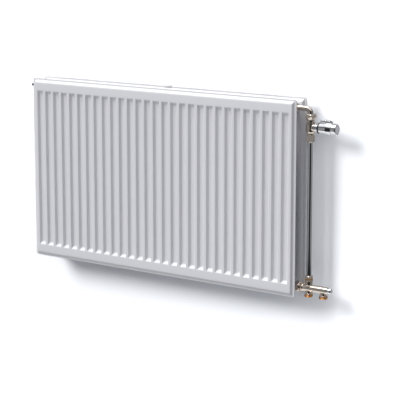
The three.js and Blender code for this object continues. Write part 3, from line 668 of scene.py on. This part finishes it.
top_seal = [(7, 546.8), (12.4, 546.8), (12.4, 548.2), (7, 548.2)]
stand_in(turned("top_union_seal", top_seal, AXIS, soften=0.3), "top_union_seal")

union_inner = [(8.3, 15), (8.3, 9.8), (13, 9.8), (13, 0)]
stand_in(nut("top_union_nut", 32, 15, union_inner, (RISER_X, MID_Y, 542), chamfer=(9, 1.8), waist=13.5),
         "top_union_nut")


# ---- Valve body ----

HEAD_AXIS = (RISER_X, MID_Y, HEAD_Z)
barrel = turned("barrel", [
    (0, 482), (9, 482), (10, 483), (10, 498.4), (12.6, 500.6), (14.2, 505), (14.4, 510), (14.4, 526),
    (12.8, 531), (11.5, 535), (11.5, 540.6), (12.6, 541.4), (12.6, 546.4), (0, 546.4)], AXIS, soften=1.2)
branch = turned("branch", [
    (0, 0), (13, 0), (12.8, 10), (12, 13.6), (10.7, 14.6), (10.7, 16), (10.7, 26), (8, 26), (0, 26)],
    HEAD_AXIS, "right", 0.6)
stand_in(combine(barrel, branch), "valve_body")


# ---- Thermostatic head, measured along +X from the riser's axis ----

def knurled(name, profile, centre, direction, teeth, depth, low, high, soften):
    """A turned piece with grip flutes between two heights."""
    made = turned(name, profile, (0, 0, 0), "up", soften, steps=teeth * 8)
    outer = max(p[0] for p in profile) * MM
    for vertex in made.data.vertices:
        radius = math.hypot(vertex.co.x, vertex.co.y)
        inside = low * MM < vertex.co.z < high * MM
        if inside and radius > outer - 1.5 * MM:
            angle = math.atan2(vertex.co.y, vertex.co.x)
            wave = (0.5 + 0.5 * math.cos(angle * teeth)) ** 4
            shrink = 1 - depth * MM * wave / radius
            vertex.co.x *= shrink
            vertex.co.y *= shrink
    turn = Matrix.Translation([MM * c for c in centre]) @ DIRECTION[direction].to_4x4()
    made.data.transform(turn)
    return made


stand_in(turned("head_collar", [
    (11.2, 15), (12.2, 15), (13.3, 17.4), (13.4, 20), (12.4, 21.2), (12.4, 22), (13.3, 23), (13.4, 25),
    (12.8, 27), (11.2, 27)], HEAD_AXIS, "right", 0.8), "head_collar")
stand_in(turned("head_base_ring", [(5, 27.3), (16.0, 27.3), (16.6, 28.3), (16.6, 32.3), (5, 32.3)],
                HEAD_AXIS, "right", 0.3), "head_base_ring")

WINDOW_LOW, WINDOW_HIGH, WINDOW_HALF = 56, 71.5, 5.3
PANE_GAP = 0.3
DRUM_RADIUS = 14.5


def window_block(name, gap=0):
    """A block that reaches through the sleeve's front where the window is."""
    low = (RISER_X + WINDOW_LOW + gap, MID_Y - 22, HEAD_Z - WINDOW_HALF + gap)
    high = (RISER_X + WINDOW_HIGH - gap, MID_Y - 10, HEAD_Z + WINDOW_HALF - gap)
    return box(name, low, high)


sleeve = turned("head_sleeve", [
    (14.9, 32.6), (16.4, 32.6), (17, 33.4), (17.3, 37), (17.6, 42), (18.1, 48), (18.6, 54), (18.95, 60),
    (19, 63), (18.8, 67), (18.4, 70), (17.7, 72.4), (17, 72.7), (14.9, 72.7)], HEAD_AXIS, "right", 0.7)
stand_in(combine(sleeve, window_block("opening"), operation="DIFFERENCE"), "head_sleeve")

pane_outline = [(16.7, WINDOW_LOW), (18.2, WINDOW_LOW), (18.2, WINDOW_HIGH), (16.7, WINDOW_HIGH)]
pane = turned("scale_window", pane_outline, HEAD_AXIS, "right", 0)
stand_in(combine(pane, window_block("cutter", PANE_GAP), operation="INTERSECT"), "scale_window")

knob = knurled("setting_knob", [
    (13.3, 72), (14.2, 72), (14.5, 73.0), (16.4, 73.0), (17, 73.6), (17, 75), (17, 83.6), (16.8, 85.6),
    (15.4, 88.2), (13.4, 89), (12.4, 88.8), (12.4, 86.5), (9, 86.5), (9, 84), (13.3, 84)],
    HEAD_AXIS, "right", teeth=36, depth=0.22, low=74.5, high=82.5, soften=0.7)
stand_in(knob, "setting_knob")
drum_outline = [(13.3, 52), (DRUM_RADIUS, 52), (DRUM_RADIUS, 72.6), (13.3, 72.6)]
drum = turned("dial_drum", drum_outline, HEAD_AXIS, "right", 0.2)
finish_piece(drum, "setting_knob", slot="black_plastic")

disc = turned("knob_end_disc", [
    (0, 86.8), (12.1, 86.8), (12.1, 88.4), (11.6, 88.6), (10.8, 88.5), (10.5, 88.2), (10.1, 88.2),
    (9.8, 88.5), (5, 88.7), (0, 88.8)], HEAD_AXIS, "right", 0.25)
stand_in(disc, "knob_end_disc")

NUMERAL_ANGLE = {"1": -90, "2": -45, "3": 0, "4": 40, "5": 80}
NUMERAL_SIZE = 8.5
NUMERAL_RELIEF = 0.05


def numeral(text, turn):
    """A plain numeral wrapped on the drum, in the middle of the window when the knob is turned to it."""
    font = bpy.data.curves.new(f"numeral_{text}", "FONT")
    font.body = text
    font.size = NUMERAL_SIZE * MM
    font.align_x = "CENTER"
    font.align_y = "CENTER"
    font.extrude = NUMERAL_RELIEF * MM
    flat = linked(f"numeral_{text}", font)
    mesh = applied_mesh(flat)
    bpy.data.objects.remove(flat)
    for vertex in mesh.vertices:
        along = (RISER_X + (WINDOW_LOW + WINDOW_HIGH) / 2) * MM + vertex.co.x
        angle = vertex.co.y / (DRUM_RADIUS * MM) + math.radians(turn)
        radius = (DRUM_RADIUS + NUMERAL_RELIEF) * MM + vertex.co.z
        y, z = MID_Y * MM - radius * math.cos(angle), HEAD_Z * MM + radius * math.sin(angle)
        vertex.co = (along, y, z)
    made = linked(f"dial_numeral_{text}", mesh)
    return finish_piece(made, "setting_knob", finish=DIAL_PRINT, slot="grey_plastic")


for text, turn in NUMERAL_ANGLE.items():
    numeral(text, -turn)

tab_outline = [(34.5, 19.3), (72, 19.3), (72, 20.6), (65.5, 24.8), (50, 25.2), (37, 25.3), (34.5, 24)]
points = [(RISER_X + x, MID_Y + side * 4.5, HEAD_Z + z) for side in (-1, 1) for x, z in tab_outline]
count = len(tab_outline)
faces = [tuple(range(count)), tuple(range(2 * count - 1, count - 1, -1))]
faces += [(k, (k + 1) % count, (k + 1) % count + count, k + count) for k in range(count)]
tab = eased(raw_object("indicator_tab", points, faces), 1.1, steps=4, angle=20)
stand_in(tab, "indicator_tab")
mark = eased(box("indicator_mark", (-3.2, -4.2, -0.6), (3.2, 4.2, 0.35)), 0.3)
slope = Matrix.Rotation(math.atan2(4.2, 6.5), 4, "Y")
mark_at = (RISER_X + 68.9, MID_Y, HEAD_Z + 22.65)
mark.data.transform(Matrix.Translation([MM * c for c in mark_at]) @ slope)
finish_piece(mark, "indicator_tab", slot="black_plastic")


# ---- Riser and its compression joints ----

riser = [(7, 47.5), (8, 47.5), (8, 487), (7, 487)]
stand_in(turned("riser_tube", riser, AXIS, soften=0.2), "riser_tube")
upper_nut = nut("upper_compression_nut", 24, 22, [(8.3, 22), (8.3, 17), (10.3, 17), (10.3, 0)],
                (RISER_X, MID_Y, 495), "down", chamfer=(1.2, 3.4))
stand_in(upper_nut, "upper_compression_nut")
lower_nut = nut("lower_compression_nut", 24, 16, [(8.3, 16), (8.3, 11), (10.3, 11), (10.3, 0)],
                (RISER_X, MID_Y, 50), chamfer=(0.8, 1.4))
stand_in(lower_nut, "lower_compression_nut", finish=ORANGE_BANDED_NICKEL)
for cad_node, z in (("upper_olive", 478.5), ("lower_olive", 56.3)):
    outline = [(8.2, z), (9.1, z), (9.8, z + 1.6), (9.1, z + 3.2), (8.2, z + 3.2)]
    stand_in(turned(cad_node, outline, AXIS, soften=0.3), cad_node)


# ---- Connection block ----

BLOCK_AXIS = (RISER_X, MID_Y, PORT_BOTTOM)
stand_in(turned("block_tailpiece", [
    (6.5, -60), (10.2, -60), (10.2, -46.7), (12.6, -46.7), (12.6, -35.5), (6.5, -35.5)],
    BLOCK_AXIS, "right", 0.4), "block_tailpiece")
block_seal = [(7, -35.2), (12.4, -35.2), (12.4, -34.3), (7, -34.3)]
stand_in(turned("block_union_seal", block_seal, BLOCK_AXIS, "right", 0.2), "block_union_seal")
stand_in(nut("block_union_nut", 30, 15, [(10.3, 15), (10.3, 12.3), (13, 12.3), (13, 0)],
             (RISER_X - 43, MID_Y, PORT_BOTTOM), "right", chamfer=(2.6, 3.4)), "block_union_nut")

block = turned("block_body", [
    (0, -34), (12.2, -34), (12.2, -31), (10, -30.6), (10, -26.4), (11.4, -25), (12.6, -22.5),
    (12.2, -19), (10.9, -17), (10.9, 57.5), (11, 58), (11, 63.4), (10.4, 64), (0, 64)], BLOCK_AXIS, "right", 0.9)
port = turned("port", [
    (0, 27), (11, 27), (11, 35), (12, 38), (12, 49), (10, 49.5), (10, 56), (0, 56)],
    AXIS, soften=0.5)
outlets = []
for offset in (0, OUTLET_SPACING):
    outlets.append(turned("outlet", [
        (0, 8), (13.2, 8), (13.2, 11), (9.6, 11.7), (9.4, 14), (9.4, 27), (0, 27)],
        (RISER_X + offset, MID_Y, 0), soften=0.35))
stand_in(combine(block, port, *outlets), "block_body")

for cad_node, offset in (("outlet_nipple_inner", 0), ("outlet_nipple_outer", OUTLET_SPACING)):
    ridges = threaded(13.2, start=2.2, end=7.4, pitch=1.3, depth=0.55)
    outline = [(5, 1), (7.5, 1), (12.0, 1), *ridges, (12.6, 7.7), (6.2, 7.7), (6.2, 15), (5, 15)]
    made = turned(cad_node, outline, (RISER_X + offset, MID_Y, 0), soften=0.15)
    stand_in(made, cad_node)

cap = turned("block_end_cap", [
    (7.6, 64.3), (9.2, 64.3), (9.2, 72.6), (8.6, 75), (7, 77.2), (4.4, 78.6), (0, 79), (0, 75),
    (5.5, 74), (7.6, 72.5)], BLOCK_AXIS, "right", 0.6)
stand_in(cap, "block_end_cap")
gland = [(3.9, 57.5), (7.2, 57.5), (7.2, 71), (3.9, 71)]
stand_in(turned("bypass_gland", gland, BLOCK_AXIS, "right", 0.4), "bypass_gland")


# ---- CAD nodes that stay: each gets its slot's finish ----

for name, cad in NODES.items():
    if not cad.hide_render:
        cad.data.materials[0] = FINISH[SLOT_OF[name]]


# ---- Stage, light and camera ----

def stage_plane(name, corners, build):
    """A rectangle of the set that takes shadows, and neither mirrors nor shades the piece."""
    mesh = bpy.data.meshes.new(name)
    mesh.from_pydata(corners, [], [(0, 1, 2, 3)])
    made = linked(name, mesh)
    material = bpy.data.materials.new(name)
    material.use_nodes = True
    build(material.node_tree)
    mesh.materials.append(material)
    made.visible_diffuse = False
    made.visible_glossy = False
    made.visible_transmission = False
    made.visible_shadow = False
    return made


def plain_white(tree, colour=(0.94, 0.94, 0.95, 1)):
    """A matt colour without pattern."""
    shader = tree.nodes["Principled BSDF"]
    shader.inputs["Base Color"].default_value = colour
    shader.inputs["Roughness"].default_value = 0.9


def one_sided_white(tree):
    """The wall is white from the room and not there from behind."""
    plain_white(tree, (0.60, 0.62, 0.66, 1))
    shader, output = tree.nodes["Principled BSDF"], tree.nodes["Material Output"]
    behind = node(tree, "ShaderNodeNewGeometry").outputs["Backfacing"]
    clear = node(tree, "ShaderNodeBsdfTransparent").outputs[0]
    both = node(tree, "ShaderNodeMixShader", {0: behind, 1: shader.outputs[0], 2: clear})
    tree.links.new(both.outputs[0], output.inputs["Surface"])


FLOOR_Z = -0.75
WALL_Y = 0.001
WALL_HALF = 4
WALL_TOP = 3
FLOOR_HALF = 6
wall_corners = [(-WALL_HALF, WALL_Y, FLOOR_Z), (WALL_HALF, WALL_Y, FLOOR_Z),
                (WALL_HALF, WALL_Y, WALL_TOP), (-WALL_HALF, WALL_Y, WALL_TOP)]
wall = stage_plane("wall", wall_corners, one_sided_white)
floor_corners = [(-FLOOR_HALF, -FLOOR_HALF, FLOOR_Z), (FLOOR_HALF, -FLOOR_HALF, FLOOR_Z),
                 (FLOOR_HALF, FLOOR_HALF, FLOOR_Z), (-FLOOR_HALF, FLOOR_HALF, FLOOR_Z)]
stage_plane("floor", floor_corners, plain_white)


def lit_by(name, data, direction, only=(), without=(), mirrored=True):
    """Adds a lamp that shines from the given direction on everything, only on some objects, or on all
    without some. A lamp that isn't mirrored leaves no highlights."""
    lamp = linked(name, data)
    lamp.rotation_mode = "QUATERNION"
    lamp.rotation_quaternion = Vector(direction).to_track_quat("Z", "Y")
    lamp.visible_glossy = mirrored
    if only or without:
        group = bpy.data.collections.new(name)
        for thing in (*only, *without):
            group.objects.link(thing)
        for entry in group.collection_objects:
            entry.light_linking.link_state = "EXCLUDE" if without else "INCLUDE"
        lamp.light_linking.receiver_collection = group
    return lamp


def sun(name, direction, strength, spread, colour=(1, 1, 1), **options):
    """A distant light; spread is how wide it looks, in degrees."""
    data = bpy.data.lights.new(name, "SUN")
    data.energy = strength
    data.angle = math.radians(spread)
    data.color = colour
    return lit_by(name, data, direction, **options)


# Each direction points from the radiator to the lamp
sun("key", (-0.24, -0.18, 0.95), 2.6, 36, (1.0, 0.985, 0.97))
sun("side_fill", (-0.58, -0.77, 0.25), 0.82, 60, without=[wall], mirrored=False)
sun("wall_wash", (-0.47, -0.68, 0.58), 4.4, 26, (1.0, 0.98, 0.945), only=[wall])
sun("wall_fill", (0.62, -0.66, 0.42), 1.7, 40, (1.0, 0.98, 0.95), only=[wall])
sun("end_fill", (0.95, -0.25, 0.15), 0.45, 60, only=[disc], mirrored=False)
low_panel = bpy.data.lights.new("wall_low", "AREA")
low_panel.size = 0.6
low_panel.energy = 2.6
wall_low = lit_by("wall_low", low_panel, (0.5, -0.7, -0.65), only=[wall], mirrored=False)
wall_low.location = (0.95, -0.7, -0.6)


# Brightness that shiny surfaces mirror, as (height, brightness) stops from straight down to straight up
MIRRORED_BANDS = [
    (-1.0, 0.9), (-0.55, 1.0), (-0.48, 0.40), (-0.44, 0.05), (-0.36, 0.06), (-0.30, 0.26), (0.0, 0.30),
    (0.34, 0.20), (0.42, 0.06), (0.52, 0.08), (0.60, 0.8), (1.0, 1.2)]
MIRRORED_TINT = (0.99, 1.0, 1.02)
AMBIENT_LEVEL = 0.39
AMBIENT_SLOPE = (-0.16, -0.03, 0.32)
AMBIENT_TINT = (0.97, 0.985, 1.035)
DARK_SIDE = (0.53, -0.83, -0.15)


def band(tree, value, stops, colour):
    """A colour whose brightness follows the stops along a value from -1 to 1."""
    half = ramp(tree, value, 0.0, 1.0, -1.0, 1.0)
    made = node(tree, "ShaderNodeValToRGB", {"Fac": half})
    elements = made.color_ramp.elements
    while len(elements) < len(stops):
        elements.new(0.5)
    for element, (height, brightness) in zip(elements, stops):
        element.position = (height + 1) / 2
        element.color = (*(brightness * c for c in colour), 1)
    return made.outputs["Color"]


def studio():
    """Pure white to the camera, soft light on matt surfaces, dark and bright bands in shiny ones."""
    world = bpy.data.worlds.new("studio")
    bpy.context.scene.world = world
    world.use_nodes = True
    tree = world.node_tree
    place = node(tree, "ShaderNodeTexCoord").outputs["Generated"]
    axes = node(tree, "ShaderNodeSeparateXYZ", {0: place})
    back, up = axes.outputs[1], axes.outputs[2]

    def facing(direction):
        inputs = {0: place, 1: direction}
        return node(tree, "ShaderNodeVectorMath", inputs, operation="DOT_PRODUCT").outputs["Value"]

    def times(first, second):
        return node(tree, "ShaderNodeVectorMath", {0: first, 1: second}, operation="MULTIPLY").outputs[0]

    def plus(first, second):
        return node(tree, "ShaderNodeMath", {0: first, 1: second}, operation="ADD").outputs[0]

    level = plus(facing(AMBIENT_SLOPE), AMBIENT_LEVEL)
    tinted = {0: AMBIENT_TINT, "Scale": level}
    even = node(tree, "ShaderNodeVectorMath", tinted, operation="SCALE").outputs[0]
    bands = band(tree, up, MIRRORED_BANDS, MIRRORED_TINT)
    dark_side = ramp(tree, facing(DARK_SIDE), 1.0, 0.05, 0.76, 0.86)
    dim_behind = ramp(tree, back, 1.0, 0.3, 0.3, 0.55)
    wall_glow = ramp(tree, back, 0.0, 1.3, 0.62, 0.78)
    shiny = times(times(bands, dark_side), plus(dim_behind, wall_glow))
    ray = node(tree, "ShaderNodeLightPath")
    lit = mixed(tree, ray.outputs["Is Glossy Ray"], even, shiny)
    seen = mixed(tree, ray.outputs["Is Camera Ray"], lit, (1.0, 1.0, 1.0))
    background = node(tree, "ShaderNodeBackground", {"Color": seen, "Strength": 1.0})
    tree.links.new(background.outputs[0], tree.nodes["World Output"].inputs["Surface"])


studio()

# The camera, as fitted to the photo's corners
camera_data = bpy.data.cameras.new("camera")
camera = linked("camera", camera_data)
bpy.context.scene.camera = camera
azimuth, elevation = math.radians(33.14), math.radians(9.356)
level = math.cos(elevation)
look = Vector((-math.sin(azimuth) * level, math.cos(azimuth) * level, -math.sin(elevation)))
camera.location = (2.5169, -3.7121, 1.1605)
camera.rotation_mode = "QUATERNION"
camera.rotation_quaternion = look.to_track_quat("-Z", "Y")
camera_data.sensor_width = 36
camera_data.lens = 127.3
camera_data.shift_y = -60 / 400
camera_data.clip_end = 50

bpy.context.scene.view_settings.view_transform = "Standard"
